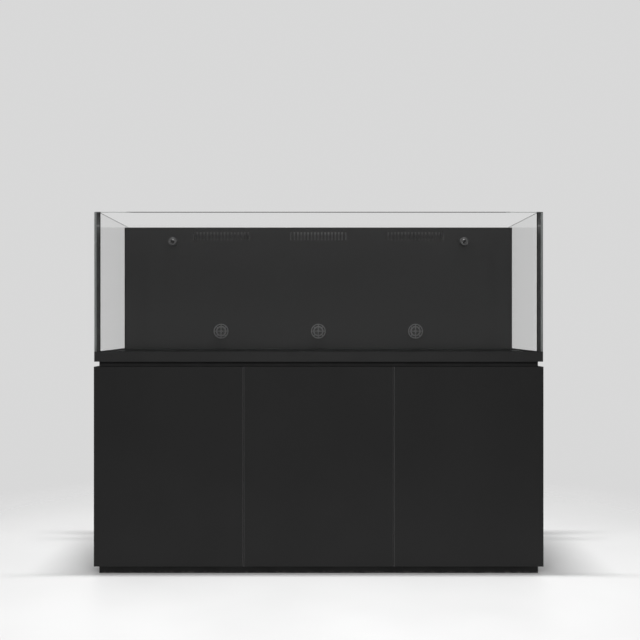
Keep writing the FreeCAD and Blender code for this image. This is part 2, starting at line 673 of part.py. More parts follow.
def strainer_grille(x):
    """The flange in front of the panel, its spoked openings, and the tube through the hole."""
    centre = (x, WEIR_Y0 - STRAINER_THICK, STRAINER_Z)
    outer = tube(STRAINER_R, STRAINER_R - STRAINER_RIM, centre, Y_AXIS, STRAINER_THICK)
    inner = tube(STRAINER_INNER_R, STRAINER_INNER_R - STRAINER_INNER_RIM, centre, Y_AXIS, STRAINER_THICK)
    boss = rod(STRAINER_BOSS_R, centre, Y_AXIS, STRAINER_THICK)
    z = (STRAINER_Z - STRAINER_SPOKE / 2, STRAINER_Z + STRAINER_SPOKE / 2)
    y = (centre[1] + SPOKE_SETBACK, WEIR_Y0)
    over = SPOKE_OVERLAP
    outer_spoke = box((x + STRAINER_INNER_R - over, x + STRAINER_R - STRAINER_RIM + over), y, z)
    inner_spoke = box((x + STRAINER_BOSS_R - over, x + STRAINER_INNER_R - STRAINER_INNER_RIM + over), y, z)
    stem_length = WEIR_THICK + NUT_THICK + STEM_PAST_NUT + STEM_OVERLAP
    stem_start = (x, WEIR_Y0 - STEM_OVERLAP, STRAINER_Z)
    stem = tube(STRAINER_TUBE_R, STRAINER_TUBE_R - STRAINER_TUBE_WALL, stem_start, Y_AXIS, stem_length)
    return join([outer, inner, boss, stem]
                + ring_of(outer_spoke, centre, Y_AXIS, STRAINER_OUTER_SPOKES)
                + ring_of(inner_spoke, centre, Y_AXIS, STRAINER_INNER_SPOKES))


def bulkhead_nuts():
    nuts = []
    for x in STATIONS:
        nuts.append(hexagon_nut(STRAINER_NUT_R, STRAINER_TUBE_R, (x, WEIR_Y1, STRAINER_Z), NUT_THICK))
    for x in (-NOZZLE_X, NOZZLE_X):
        nuts.append(hexagon_nut(NOZZLE_NUT_R, NOZZLE_TUBE_R, (x, WEIR_Y1, NOZZLE_Z), NUT_THICK))
    return group(nuts)


def nozzle_socket(x):
    """The threaded tube through the panel, with its flange and the seat behind the ball."""
    flange = rod(NOZZLE_FLANGE_R, (x, WEIR_Y0 - NOZZLE_FLANGE_THICK, NOZZLE_Z), Y_AXIS, NOZZLE_FLANGE_THICK)
    stem_length = WEIR_THICK + NUT_THICK + NOZZLE_STEM_PAST_NUT + STEM_OVERLAP
    stem = rod(NOZZLE_TUBE_R, (x, WEIR_Y0 - STEM_OVERLAP, NOZZLE_Z), Y_AXIS, stem_length)
    seat = Part.makeSphere(BALL_R + BALL_CLEARANCE, Vector(x, BALL_Y, NOZZLE_Z))
    bore = rod(NOZZLE_BORE_R, (x, BALL_Y, NOZZLE_Z), Y_AXIS, 2 * stem_length)
    return join([flange, stem]).cut([seat, bore])


def nozzle_ring(x):
    """The screwed collar in front of the ball, with grip flutes round its rim."""
    front = WEIR_Y0 - NOZZLE_FLANGE_THICK - BALL_CLEARANCE - RING_LENGTH
    collar = rod(RING_R, (x, front, NOZZLE_Z), Y_AXIS, RING_LENGTH)
    collar = rounded(collar, RING_EDGE_RADIUS, lambda bounds: bounds.YMax < front + EPS / 2)
    seat = Part.makeSphere(BALL_R + BALL_CLEARANCE, Vector(x, BALL_Y, NOZZLE_Z))
    behind = rod(BALL_R + BALL_CLEARANCE, (x, BALL_Y, NOZZLE_Z), Y_AXIS, RING_LENGTH)
    flute = rod(RING_GRIP_R, (x + RING_R, front + RING_GRIP_START, NOZZLE_Z), Y_AXIS, RING_LENGTH)
    return collar.cut([seat, behind] + ring_of(flute, (x, front, NOZZLE_Z), Y_AXIS, RING_GRIPS))


def nozzle_ball(x):
    """The ball with its outlet tip, bored through."""
    ball = Part.makeSphere(BALL_R, Vector(x, BALL_Y, NOZZLE_Z))
    tip = Part.makeCone(TIP_R + TIP_TAPER, TIP_R, TIP_REACH, Vector(x, BALL_Y, NOZZLE_Z), -Y_AXIS)
    bore = rod(TIP_BORE_R, (x, BALL_Y - TIP_REACH - EPS, NOZZLE_Z), Y_AXIS, TIP_REACH + EPS + BALL_R + EPS)
    throat = Part.makeCone(TIP_BORE_R, NOZZLE_BORE_R, BALL_R, Vector(x, BALL_Y, NOZZLE_Z), Y_AXIS)
    return join([ball, tip]).cut([bore, throat])


def water_fittings():
    parts = {
        "strainer_grilles": group([strainer_grille(x) for x in STATIONS]),
        "bulkhead_nuts": bulkhead_nuts(),
        "nozzle_sockets": group([nozzle_socket(x) for x in (-NOZZLE_X, NOZZLE_X)]),
    }
    for name, x in (("left", -NOZZLE_X), ("right", NOZZLE_X)):
        parts[name + "_nozzle_ring"] = nozzle_ring(x)
        parts[name + "_nozzle_ball"] = nozzle_ball(x)
    return parts


def basket(x):
    """An open filter basket: a barred floor, a low front wall behind the comb, and a finger slot
    in each end wall."""
    y0, y1 = BASKET_Y
    wall = BASKET_WALL
    outer = box((x - BASKET_HALF, x + BASKET_HALF), BASKET_Y, (BASKET_BOTTOM, BASKET_TOP))
    hollow = box((x - BASKET_HALF + wall, x + BASKET_HALF - wall), (y0 + wall, y1 - wall),
                 (BASKET_BOTTOM + wall, BASKET_TOP + EPS))
    low_front = box((x - BASKET_HALF + wall, x + BASKET_HALF - wall), (y0 - EPS, y0 + wall + EPS),
                    (BASKET_FRONT_TOP, BASKET_TOP + EPS))
    pitch = (2 * BASKET_HALF - 2 * wall) / BASKET_BARS
    cuts = [hollow, low_front]
    for index in range(BASKET_BARS):
        start = x - BASKET_HALF + wall + index * pitch + pitch / 4
        cuts.append(box((start, start + pitch / 2), (y0 + 2 * wall, y1 - 2 * wall),
                        (BASKET_BOTTOM - EPS, BASKET_BOTTOM + wall + EPS)))
    middle = (y0 + y1) / 2
    for side in (-1, 1):
        end = x + side * BASKET_HALF
        cuts.append(box((end - side * (wall + EPS), end + side * EPS),
                        (middle - BASKET_GRIP_HALF, middle + BASKET_GRIP_HALF),
                        (BASKET_GRIP_Z, BASKET_GRIP_Z + BASKET_GRIP_HEIGHT)))
    return outer.cut(cuts)


def pump_body(x):
    """Motor block with the volute on its inner side; the impeller turns about the X axis."""
    start = x + VOLUTE_HALF
    z = PUMP_AXIS_Z
    y = RETURN_Y
    block = box((start, start + PUMP_BODY_LENGTH), (y - PUMP_BODY_HALF_DEPTH, y + PUMP_BODY_HALF_DEPTH),
                (z - PUMP_BODY_HALF_HEIGHT, z + PUMP_BODY_HALF_HEIGHT))
    block = rounded(block, PUMP_BODY_RADIUS, lambda bounds: bounds.XLength > PUMP_BODY_LENGTH / 2)
    grooves = []
    top = z + PUMP_BODY_HALF_HEIGHT
    across = (y - PUMP_BODY_HALF_DEPTH, y + PUMP_BODY_HALF_DEPTH)
    for index in range(PUMP_FINS):
        groove_x = start + PUMP_FIN_MARGIN + index * (PUMP_BODY_LENGTH - 2 * PUMP_FIN_MARGIN) / PUMP_FINS
        grooves.append(box((groove_x, groove_x + PUMP_FIN_WIDTH), across, (top - PUMP_FIN_DEPTH, top + EPS)))
    volute = rod(VOLUTE_R, (x - VOLUTE_HALF, y, z), X_AXIS, 2 * VOLUTE_HALF)
    spigot = rod(PUMP_SPIGOT_R, (x, y, z), Z_AXIS, PUMP_SPIGOT_TOP)
    chamber = rod(VOLUTE_BORE_R, (x - VOLUTE_HALF - EPS, y, z), X_AXIS, 2 * VOLUTE_HALF + EPS - VOLUTE_WALL)
    rotor = rod(ROTOR_R + ROTOR_CLEARANCE, (x, y, z), X_AXIS, VOLUTE_HALF + ROTOR_LENGTH)
    duct = rod(PIPE_BORE_R, (x, y, z), Z_AXIS, PUMP_SPIGOT_TOP)
    socket = rod(PIPE_R + PIPE_FIT, (x, y, PIPE_BOTTOM), Z_AXIS, PIPE_INSERT + EPS)
    return join([block.cut(grooves), volute, spigot]).cut([chamber, rotor, duct, socket])


def pump_cover(x):
    """The volute's cover with the slotted intake cage."""
    y = RETURN_Y
    z = PUMP_AXIS_Z
    face = x - VOLUTE_HALF
    plate = rod(VOLUTE_R, (face - COVER_THICK, y, z), X_AXIS, COVER_THICK)
    cage_start = face - COVER_THICK - CAGE_LENGTH
    cage = rod(CAGE_R, (cage_start, y, z), X_AXIS, CAGE_LENGTH)
    hollow = rod(CAGE_R - CAGE_WALL, (cage_start + CAGE_WALL, y, z), X_AXIS, CAGE_LENGTH - CAGE_WALL)
    slot_x = (cage_start + CAGE_SLOT_MARGIN, cage_start + CAGE_LENGTH - CAGE_SLOT_MARGIN)
    slot = box(slot_x, (y, y + CAGE_R + EPS),
               (z - CAGE_SLOT / 2, z + CAGE_SLOT / 2))
    intake = rod(INTAKE_R, (cage_start + CAGE_WALL, y, z), X_AXIS, CAGE_LENGTH + COVER_THICK)
    shell = join([plate, cage])
    return shell.cut([hollow, intake] + ring_of(slot, (cage_start, y, z), X_AXIS, CAGE_SLOTS))


def impeller(x):
    """Magnet rotor, disc and straight blades, turning about the X axis."""
    y = RETURN_Y
    z = PUMP_AXIS_Z
    disc_x = x + VOLUTE_HALF - VOLUTE_WALL - IMPELLER_CLEARANCE - IMPELLER_DISC
    disc = rod(IMPELLER_R, (disc_x, y, z), X_AXIS, IMPELLER_DISC)
    rotor = rod(ROTOR_R, (disc_x, y, z), X_AXIS, ROTOR_LENGTH)
    hub = rod(IMPELLER_HUB_R, (disc_x - IMPELLER_BLADE_LENGTH, y, z), X_AXIS, IMPELLER_BLADE_LENGTH)
    blade_y = (y + IMPELLER_BLADE_START, y + IMPELLER_R - IMPELLER_CLEARANCE)
    blade = box((disc_x - IMPELLER_BLADE_LENGTH, disc_x + IMPELLER_DISC / 2), blade_y,
                (z - IMPELLER_BLADE_THICK / 2, z + IMPELLER_BLADE_THICK / 2))
    return join([disc, rotor, hub] + ring_of(blade, (x, y, z), X_AXIS, IMPELLER_BLADES))


def pump_feet(x):
    feet = []
    for dx in (VOLUTE_HALF + PUMP_FOOT_FROM_END, VOLUTE_HALF + PUMP_BODY_LENGTH - PUMP_FOOT_FROM_END):
        for dy in (-PUMP_FOOT_OFFSET, PUMP_FOOT_OFFSET):
            feet.append(rod(PUMP_FOOT_R, (x + dx, RETURN_Y + dy, FLOOR_GLASS_TOP), Z_AXIS, PUMP_FOOT_HEIGHT))
    return feet


def return_elbow(x):
    """From the nozzle's tube down to the pipe."""
    back = WEIR_Y1 + NUT_THICK + NOZZLE_STEM_PAST_NUT
    y = RETURN_Y
    across = rod(ELBOW_R, (x, back, NOZZLE_Z), Y_AXIS, y - back)
    knee = Part.makeSphere(ELBOW_R, Vector(x, y, NOZZLE_Z))
    down = rod(ELBOW_R, (x, y, ELBOW_BOTTOM), Z_AXIS, NOZZLE_Z - ELBOW_BOTTOM)
    spigot = rod(NOZZLE_BORE_R - PIPE_FIT, (x, back - ELBOW_SPIGOT, NOZZLE_Z), Y_AXIS, ELBOW_SPIGOT + EPS)
    bore_start = back - ELBOW_SPIGOT - EPS
    bores = [
        rod(NOZZLE_BORE_R - ELBOW_SPIGOT_WALL, (x, bore_start, NOZZLE_Z), Y_AXIS, y - bore_start),
        Part.makeSphere(PIPE_BORE_R, Vector(x, y, NOZZLE_Z)),
        rod(PIPE_BORE_R, (x, y, ELBOW_BOTTOM - EPS), Z_AXIS, NOZZLE_Z - ELBOW_BOTTOM + EPS),
        rod(PIPE_R + PIPE_FIT, (x, y, ELBOW_BOTTOM - EPS), Z_AXIS, PIPE_TOP - ELBOW_BOTTOM + EPS),
    ]
    return join([across, knee, down, spigot]).cut(bores)


def return_pumps():
    parts = {}
    bodies = []
    covers = []
    feet = []
    elbows = []
    pipes = []
    for name, side in (("left", -1), ("right", 1)):
        pieces = [pump_body(NOZZLE_X), pump_cover(NOZZLE_X), impeller(NOZZLE_X), return_elbow(NOZZLE_X)]
        foot_pads = pump_feet(NOZZLE_X)
        if side < 0:
            pieces = [mirrored_x(piece) for piece in pieces]
            foot_pads = [mirrored_x(foot) for foot in foot_pads]
        body, cover, wheel, elbow = pieces
        bodies.append(body)
        covers.append(cover)
        elbows.append(elbow)
        feet += foot_pads
        parts[name + "_impeller"] = wheel
        pipe_foot = (side * NOZZLE_X, RETURN_Y, PIPE_BOTTOM)
        pipes.append(tube(PIPE_R, PIPE_BORE_R, pipe_foot, Z_AXIS, PIPE_TOP - PIPE_BOTTOM))
    parts["pump_bodies"] = group(bodies)
    parts["pump_covers"] = group(covers)
    parts["pump_feet"] = group(feet)
    parts["return_pipework"] = group(elbows + pipes)
    return parts


def build():
    parts = {}
    for section in (plinth, carcass, doors, tank_base, panes, silicone, weir_panel, rear_baffles,
                    water_fittings, return_pumps):
        parts.update(section())
    for name, x in zip(("left", "centre", "right"), STATIONS):
        parts[name + "_filter_basket"] = basket(x)
    return parts


def main():
    os.makedirs("parts", exist_ok=True)
    parts = build()
    for name, shape in parts.items():
        if not shape.isValid():
            raise ValueError(name + " is not a valid shape")
        shape.exportStep("parts/" + name + ".step")
    print(len(parts), "nodes")


main()
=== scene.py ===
"""The looks of the aquarium on its cabinet stand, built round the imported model."""
import json
import math

import bmesh
import bpy
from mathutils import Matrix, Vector, noise


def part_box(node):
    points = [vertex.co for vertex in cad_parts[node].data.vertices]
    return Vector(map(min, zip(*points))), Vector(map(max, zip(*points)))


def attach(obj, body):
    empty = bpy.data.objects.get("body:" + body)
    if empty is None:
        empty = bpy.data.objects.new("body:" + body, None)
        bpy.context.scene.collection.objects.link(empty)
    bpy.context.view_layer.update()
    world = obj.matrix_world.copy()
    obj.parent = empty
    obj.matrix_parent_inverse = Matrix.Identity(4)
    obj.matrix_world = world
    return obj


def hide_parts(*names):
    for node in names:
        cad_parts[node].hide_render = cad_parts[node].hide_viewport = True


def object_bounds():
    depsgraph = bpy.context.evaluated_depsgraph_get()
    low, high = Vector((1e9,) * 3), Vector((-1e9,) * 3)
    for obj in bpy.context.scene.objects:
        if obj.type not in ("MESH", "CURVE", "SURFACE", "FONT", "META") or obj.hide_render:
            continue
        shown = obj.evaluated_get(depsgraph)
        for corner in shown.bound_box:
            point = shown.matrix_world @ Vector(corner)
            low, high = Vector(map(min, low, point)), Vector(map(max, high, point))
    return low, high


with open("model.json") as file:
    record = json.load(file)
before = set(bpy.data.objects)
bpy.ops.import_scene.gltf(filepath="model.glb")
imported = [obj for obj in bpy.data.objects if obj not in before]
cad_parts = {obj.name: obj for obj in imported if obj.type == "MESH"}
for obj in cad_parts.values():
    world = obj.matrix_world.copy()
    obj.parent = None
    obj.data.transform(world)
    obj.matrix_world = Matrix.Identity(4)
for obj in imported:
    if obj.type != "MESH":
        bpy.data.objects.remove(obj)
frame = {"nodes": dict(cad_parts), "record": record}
cad_low, cad_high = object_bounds()
NODES = frame["nodes"]
BODIES = frame["record"]["behaviour"]["bodies"]
BODY_OF = {node: body for body, nodes in BODIES.items() for node in nodes}
SLOT_OF = {part["node"]: part["material_slot"] for part in frame["record"]["subparts"]}
ROOT = "tank_and_cabinet"
MM = 0.001

# ---- studio and camera -----------------------------------------------------------------
LENS_MM = 50.0
SENSOR_MM = 36.0
CAMERA_DISTANCE = 3.5563         # in front of the doors
CAMERA_HEIGHT = 0.997
CAMERA_X = -0.011
SHIFT = (0.0064, 0.0078)
BACKDROP_TONE = (0.69, 0.69, 0.69, 1.0)
ROOM_FRONT = 0.30                # the room mirrored in front of the object, and behind it
ROOM_BACK = 0.72
ROOM_FADE = (-0.9, 0.1)          # Y of a ray's direction at which the front ends and the back starts
ROOM_LIGHT = 0.5                 # what matt surfaces gather from all round
FLOOR_SIZE = 12.0
FLOOR_FADE = (1.0, 2.4)          # distances over which the floor fades into the backdrop
FLOOR_TONES = (0.835, 0.875)     # darkest and palest of its slight clouds
NO_BOUNCE = 0.5                  # a ray that has bounced less than this comes from the camera

# name, place, target, width and depth, watts
LIGHTS = (
    ("high_strip", (-0.1, -0.16, 6.0), (-0.1, -0.159, 0.0), (1.6, 0.24), 236.0),
    ("front_top", (0.0, -3.4, 2.5), (0.0, 0.0, 0.9), (3.4, 0.7), 50.0),
)


# ---- node materials --------------------------------------------------------------------
NOISE_RANGE = (0.3, 0.7)         # where most of a noise texture's values lie
EDGE_COSINE = (0.93, 0.75)       # between rounded and true normal, where wear starts and is full
EDGE_NOISE = 60.0
FACE_TURN = (0.12, 0.5)          # how far a face has to point along an axis to count as its face


class Shader:
    """A short way to write a node material."""

    def __init__(self, name):
        self.material = bpy.data.materials.new(name)
        self.material.use_nodes = True
        self.tree = self.material.node_tree
        self.tree.nodes.clear()
        self.output = self.add("ShaderNodeOutputMaterial")
        coordinates = self.add("ShaderNodeTexCoord")
        self.place = coordinates.outputs["Object"]
        self.facing = coordinates.outputs["Normal"]

    def add(self, kind, inputs=None, **settings):
        node = self.tree.nodes.new(kind)
        for key, value in settings.items():
            setattr(node, key, value)
        for key, value in (inputs or {}).items():
            self.put(node.inputs[key], value)
        return node

    def put(self, socket, value):
        if isinstance(value, bpy.types.NodeSocket):
            self.tree.links.new(value, socket)
        else:
            socket.default_value = value

    def stretched(self, scale):
        """Object coordinates, scaled per axis."""
        return self.add("ShaderNodeMapping", {"Vector": self.place, "Scale": scale}).outputs["Vector"]

    def noise(self, scale, detail=3.0, roughness=0.5, place=None):
        inputs = {"Vector": place or self.place, "Scale": scale, "Detail": detail, "Roughness": roughness}
        return self.add("ShaderNodeTexNoise", inputs).outputs["Fac"]

    def cells(self, scale):
        return self.add("ShaderNodeTexVoronoi", {"Vector": self.place, "Scale": scale}).outputs["Distance"]

    def axes(self, vector):
        """The X, Y and Z of a vector, by name."""
        return self.add("ShaderNodeSeparateXYZ", {"Vector": vector}).outputs

    def remap(self, value, low, high, to_low, to_high):
        inputs = {"Value": value, "From Min": low, "From Max": high, "To Min": to_low, "To Max": to_high}
        return self.add("ShaderNodeMapRange", inputs, interpolation_type="SMOOTHSTEP").outputs["Result"]

    def spread(self, value, to_low, to_high):
        """A noise value, stretched from its usual range."""
        return self.remap(value, *NOISE_RANGE, to_low, to_high)

    def math(self, operation, a, b=0.0):
        node = self.add("ShaderNodeMath", operation=operation)
        self.put(node.inputs[0], a)
        self.put(node.inputs[1], b)
        return node.outputs[0]

    def mix(self, factor, a, b):
        """A colour between a and b."""
        node = self.add("ShaderNodeMix", data_type="RGBA")
        self.put(node.inputs["Factor"], factor)
        self.put(node.inputs["A"], a)
        self.put(node.inputs["B"], b)
        return node.outputs["Result"]

    def edges(self, radius, amount=1.0):
        """1 along the convex edges, broken up by noise, and 0 elsewhere."""
        bevel = self.add("ShaderNodeBevel", {"Radius": radius}, samples=6).outputs["Normal"]
        normal = self.add("ShaderNodeNewGeometry").outputs["Normal"]
        cosine = self.add("ShaderNodeVectorMath", {0: bevel, 1: normal}, operation="DOT_PRODUCT")
        edge = self.remap(cosine.outputs["Value"], *EDGE_COSINE, 0.0, 1.0)
        broken = self.remap(self.noise(EDGE_NOISE, 4.0), 0.35, 0.7, 0.25 * amount, amount)
        return self.math("MULTIPLY", edge, broken)

    def bump(self, height, strength, distance):
        inputs = {"Height": height, "Strength": strength, "Distance": distance}
        return self.add("ShaderNodeBump", inputs).outputs["Normal"]

    def principled(self, **inputs):
        named = {key.replace("_", " ").title().replace("Ior", "IOR"): value for key, value in inputs.items()}
        return self.add("ShaderNodeBsdfPrincipled", named)

    def finish(self, shader):
        self.put(self.output.inputs["Surface"], shader.outputs[0])
        return self.material


def rgb(value, tint=(1.0, 1.0, 1.0)):
    """A grey of this value, tinted."""
    return (value * tint[0], value * tint[1], value * tint[2], 1.0)


def laminate(name, tone, roughness=0.46, specular=0.2, worn=0.4, painted_side_highlight=None, top=None):
    """Black board laminate: a fine pore, faint wiped smudges and worn edges.

    The two extra tones paint the faces along X paler, a painted highlight in the seams between the doors,
    and the upper faces darker, painted shade under the overhang of the riser."""
    s = Shader(name)
    cloud = s.noise(3.0, 4.0)
    pore = s.noise(1.0, 2.0, 0.6, s.stretched((900.0, 900.0, 260.0)))
    colour = s.mix(s.spread(cloud, 0.0, 1.0), rgb(tone * 0.96), rgb(tone * 1.04))
    faces = s.axes(s.facing)
    # Paler faces along X: a painted highlight for the seams between the doors.
    if painted_side_highlight:
        on_highlit_sides = s.remap(s.math("ABSOLUTE", faces["X"]), *FACE_TURN, 0.0, 1.0)
        colour = s.mix(on_highlit_sides, colour, rgb(painted_side_highlight))
    # Darker upper faces: painted shade under the overhang of the riser.
    if top:
        colour = s.mix(s.remap(faces["Z"], *FACE_TURN, 0.0, 1.0), colour, rgb(top))
    colour = s.mix(s.edges(1.0 * MM, worn), colour, rgb(tone * 2.2))
    smudge = s.remap(s.noise(7.0, 5.0, 0.6), 0.35, 0.7, roughness - 0.02, roughness + 0.025)
    return s.finish(s.principled(base_color=colour, roughness=smudge, normal=s.bump(pore, 0.16, 0.2 * MM),
                                 specular_ior_level=specular))


DUST_HEIGHT = 12.0 * MM


def matt_board(name, tone):
    """Plinth and riser: matt laminate with a little dust near the floor."""
    s = Shader(name)
    grain = s.noise(1.0, 3.0, 0.6, s.stretched((40.0, 700.0, 700.0)))
    low_down = s.remap(s.axes(s.place)["Z"], DUST_HEIGHT, 0.0, 0.0, 0.5)
    dust = s.math("MULTIPLY", low_down, s.remap(s.noise(90.0, 4.0), 0.4, 0.7, 0.0, 1.0))
    colour = s.mix(s.spread(grain, 0.0, 1.0), rgb(tone * 0.85), rgb(tone * 1.2))
    colour = s.mix(s.edges(1.2 * MM, 0.5), colour, rgb(tone * 3.0))
    colour = s.mix(dust, colour, rgb(0.12, (1.0, 0.97, 0.92)))
    rough = s.spread(s.noise(12.0), 0.55, 0.7)
    return s.finish(s.principled(base_color=colour, roughness=rough, normal=s.bump(grain, 0.2, 0.2 * MM),
                                 specular_ior_level=0.3))


def anodised(name, tone):
    """Black anodised aluminium, drawn along its length."""
    s = Shader(name)
    lines = s.noise(1.0, 3.0, 0.7, s.stretched((6.0, 6.0, 2600.0)))
    colour = s.mix(s.spread(lines, 0.0, 1.0), rgb(tone * 0.85), rgb(tone * 1.15))
    colour = s.mix(s.edges(0.8 * MM, 0.7), colour, rgb(0.16))
    rough = s.spread(s.noise(25.0, 5.0), 0.38, 0.43)
    return s.finish(s.principled(base_color=colour, metallic=0.35, roughness=rough,
                                 normal=s.bump(lines, 0.12, 0.1 * MM)))


PAINTED_LIGHT_TOP = 1.30                  # heights between which the rear panel is painted paler towards the floor of the tank, painted light against the shade low down
PAINTED_LIGHT_FOOT = 0.88


def gloss_black(name, tone, roughness, coat=0.0, painted_foot_light=1.0):
    """Black acrylic or painted glass: a deep surface with hairlines and wiped haze.

    The last argument is how much paler it is painted at the floor of the tank: painted light against the
    shade there."""
    s = Shader(name)
    haze = s.noise(2.2, 5.0, 0.6)
    hairlines = s.noise(1.0, 2.0, 0.8, s.stretched((900.0, 900.0, 12.0)))
    colour = s.mix(s.spread(haze, 0.0, 1.0), rgb(tone * 0.97), rgb(tone * 1.03))
    # Paler towards the floor of the tank: painted light against the shade low on the panel.
    painted_foot_mask = s.remap(s.axes(s.place)["Z"], PAINTED_LIGHT_TOP, PAINTED_LIGHT_FOOT, 0.0, 1.0)
    colour = s.mix(painted_foot_mask, colour, rgb(tone * painted_foot_light))
    colour = s.mix(s.edges(0.7 * MM, 0.6), colour, rgb(tone * 2.6))
    rough = s.spread(haze, roughness * 0.9, roughness * 1.1)
    shader = s.principled(base_color=colour, roughness=rough, normal=s.bump(hairlines, 0.01, 0.02 * MM),
                          specular_ior_level=0.4)
    shader.inputs["Coat Weight"].default_value = coat
    shader.inputs["Coat Roughness"].default_value = 0.05
    return s.finish(shader)


def moulded(name, tone, roughness, grain=0.12, tint=(1.0, 1.0, 1.0), edge_gain=1.7):
    """Moulded plastic: fine spark-eroded grain, slight flow marks, polished edges."""
    s = Shader(name)
    spark = s.noise(1500.0, 2.0, 0.6)
    flow = s.noise(28.0, 4.0, 0.55)
    colour = s.mix(s.spread(flow, 0.0, 1.0), rgb(tone * 0.9, tint), rgb(tone * 1.1, tint))
    colour = s.mix(s.edges(0.6 * MM, 0.7), colour, rgb(tone * edge_gain, tint))
    rough = s.spread(flow, roughness * 0.85, roughness * 1.2)
    normal = s.bump(spark, grain, 0.1 * MM)
    return s.finish(s.principled(base_color=colour, roughness=rough, normal=normal))


PAINTED_LINE_HEIGHT = 1.3954              # height of a painted reflection, a pale line on the corner seams
PAINTED_LINE_HALF = 7.0 * MM
PAINTED_BLOOM_HALF = 55.0 * MM           # the fainter painted bloom above and below it


def rubber(name, tone, roughness=0.75, wave=12.0, specular=0.5, painted_line_tone=None):
    """Cast rubber or silicone, slowly waved; if a line tone is given, a pale line near the rim as a painted
    reflection.
    """
    s = Shader(name)
    fine = s.noise(900.0, 3.0)
    slow = s.noise(wave, 3.0)
    colour = s.mix(s.spread(slow, 0.0, 1.0), rgb(tone * 0.85), rgb(tone * 1.25))
    if painted_line_tone:
        # A pale line and bloom near the rim: a painted reflection on the corner seams.
        away = s.math("ABSOLUTE", s.math("SUBTRACT", s.axes(s.place)["Z"], PAINTED_LINE_HEIGHT))
        sharp = s.remap(away, PAINTED_LINE_HALF, 0.0, 0.0, 0.72)
        bloom = s.remap(away, PAINTED_BLOOM_HALF, 0.0, 0.0, 0.28)
        colour = s.mix(s.math("ADD", sharp, bloom), colour, rgb(painted_line_tone))
    rough = s.spread(slow, roughness * 0.9, roughness * 1.1)
    height = s.math("ADD", s.math("MULTIPLY", fine, 0.3), slow)
    return s.finish(s.principled(base_color=colour, roughness=rough, normal=s.bump(height, 0.15, 0.3 * MM),
                                 specular_ior_level=specular))


def foam(name, tone):
    """Open or closed cell foam: pits, with the colour darkened into them as painted shade."""
    s = Shader(name)
    pits = s.cells(900.0)
    # Darker towards the middle of each pit: painted shade in the recesses.
    colour = s.mix(s.remap(pits, 0.1, 0.7, 0.0, 1.0), rgb(tone * 0.45), rgb(tone * 1.3))
    rough = s.remap(pits, 0.1, 0.6, 0.98, 0.8)
    return s.finish(s.principled(base_color=colour, roughness=rough, normal=s.bump(pits, 0.8, 0.8 * MM),
                                 specular_ior_level=0.15))


def plated(name, tone, tint, roughness=0.28):
    """Nickel or zinc plating over pressed steel, dulled where it has been handled."""
    s = Shader(name)
    drawn = s.noise(1.0, 3.0, 0.6, s.stretched((60.0, 60.0, 1400.0)))
    tarnish = s.remap(s.noise(70.0, 5.0, 0.65), 0.42, 0.7, 0.0, 1.0)
    colour = s.mix(tarnish, rgb(tone, tint), rgb(tone * 0.72, tint))
    colour = s.mix(s.edges(0.4 * MM, 0.8), colour, rgb(min(tone * 1.25, 1.0), tint))
    dulled = s.remap(tarnish, 0.0, 1.0, roughness, roughness + 0.16)
    rough = s.math("ADD", s.spread(drawn, -0.05, 0.06), dulled)
    return s.finish(s.principled(base_color=colour, metallic=1.0, roughness=rough,
                                 normal=s.bump(drawn, 0.06, 0.1 * MM)))


GLASS_IOR = 1.52
MIRROR_SHARE = 0.28              # of the mirror image that a coated low-iron pane keeps at all angles
MIRROR_CURVE = 2.2               # how fast the rest of it comes in towards grazing angles
SHADOW_TINT = (0.975, 0.98, 0.978, 1.0)


def clear_glass(name, tint, low_rough, high_rough, scale, near=MIRROR_SHARE, far=1.0 - MIRROR_SHARE):
    """Low-iron glass. Lamps and bounced light pass straight through, so what is inside is lit.

    near and far are the shares of the mirror image kept at all angles, and added at grazing ones."""
    s = Shader(name)
    smear = s.remap(s.noise(scale, 4.0), 0.55, 0.75, low_rough, high_rough)
    colour = s.mix(s.spread(s.noise(1.2, 2.0), 0.0, 1.0), tint, [min(c * 1.01, 1.0) for c in tint])
    normal = s.bump(s.noise(3.0, 1.0), 0.02, 0.1 * MM)
    bent = s.add("ShaderNodeBsdfRefraction", {"Color": colour, "Roughness": smear, "IOR": GLASS_IOR,
                                              "Normal": normal})
    mirror = s.add("ShaderNodeBsdfGlossy", {"Roughness": smear, "Normal": normal})
    fresnel = s.add("ShaderNodeFresnel", {"IOR": GLASS_IOR, "Normal": normal}).outputs[0]
    curved = s.math("MULTIPLY", s.math("POWER", fresnel, MIRROR_CURVE), far)
    share = s.math("ADD", s.math("MULTIPLY", fresnel, near), curved)
    glass = s.add("ShaderNodeMixShader", {0: share, 1: bent.outputs[0], 2: mirror.outputs[0]})
    straight = s.add("ShaderNodeBsdfTransparent", {"Color": SHADOW_TINT})
    path = s.add("ShaderNodeLightPath")
    lamp = s.math("MAXIMUM", path.outputs["Is Shadow Ray"], path.outputs["Is Diffuse Ray"])
    mixed = s.add("ShaderNodeMixShader", {0: lamp, 1: glass.outputs[0], 2: straight.outputs[0]})
    return s.finish(mixed)


def ground_glass(name, tone):
    """The sawn and ground end of a pane: pale, matt and finely scratched."""
    s = Shader(name)
    chips = s.remap(s.cells(260.0), 0.0, 0.5, 0.8, 1.15)
    scratches = s.spread(s.noise(1.0, 3.0, 0.7, s.stretched((700.0, 700.0, 30.0))), 0.85, 1.1)
    amount = s.math("MULTIPLY", chips, scratches)
    colour = s.mix(amount, rgb(tone * 0.4), rgb(tone, (0.98, 1.01, 1.0)))
    return s.finish(s.principled(base_color=colour, roughness=s.remap(amount, 0.7, 1.2, 0.75, 0.55),
                                 normal=s.bump(scratches, 0.2, 0.2 * MM), specular_ior_level=0.3))


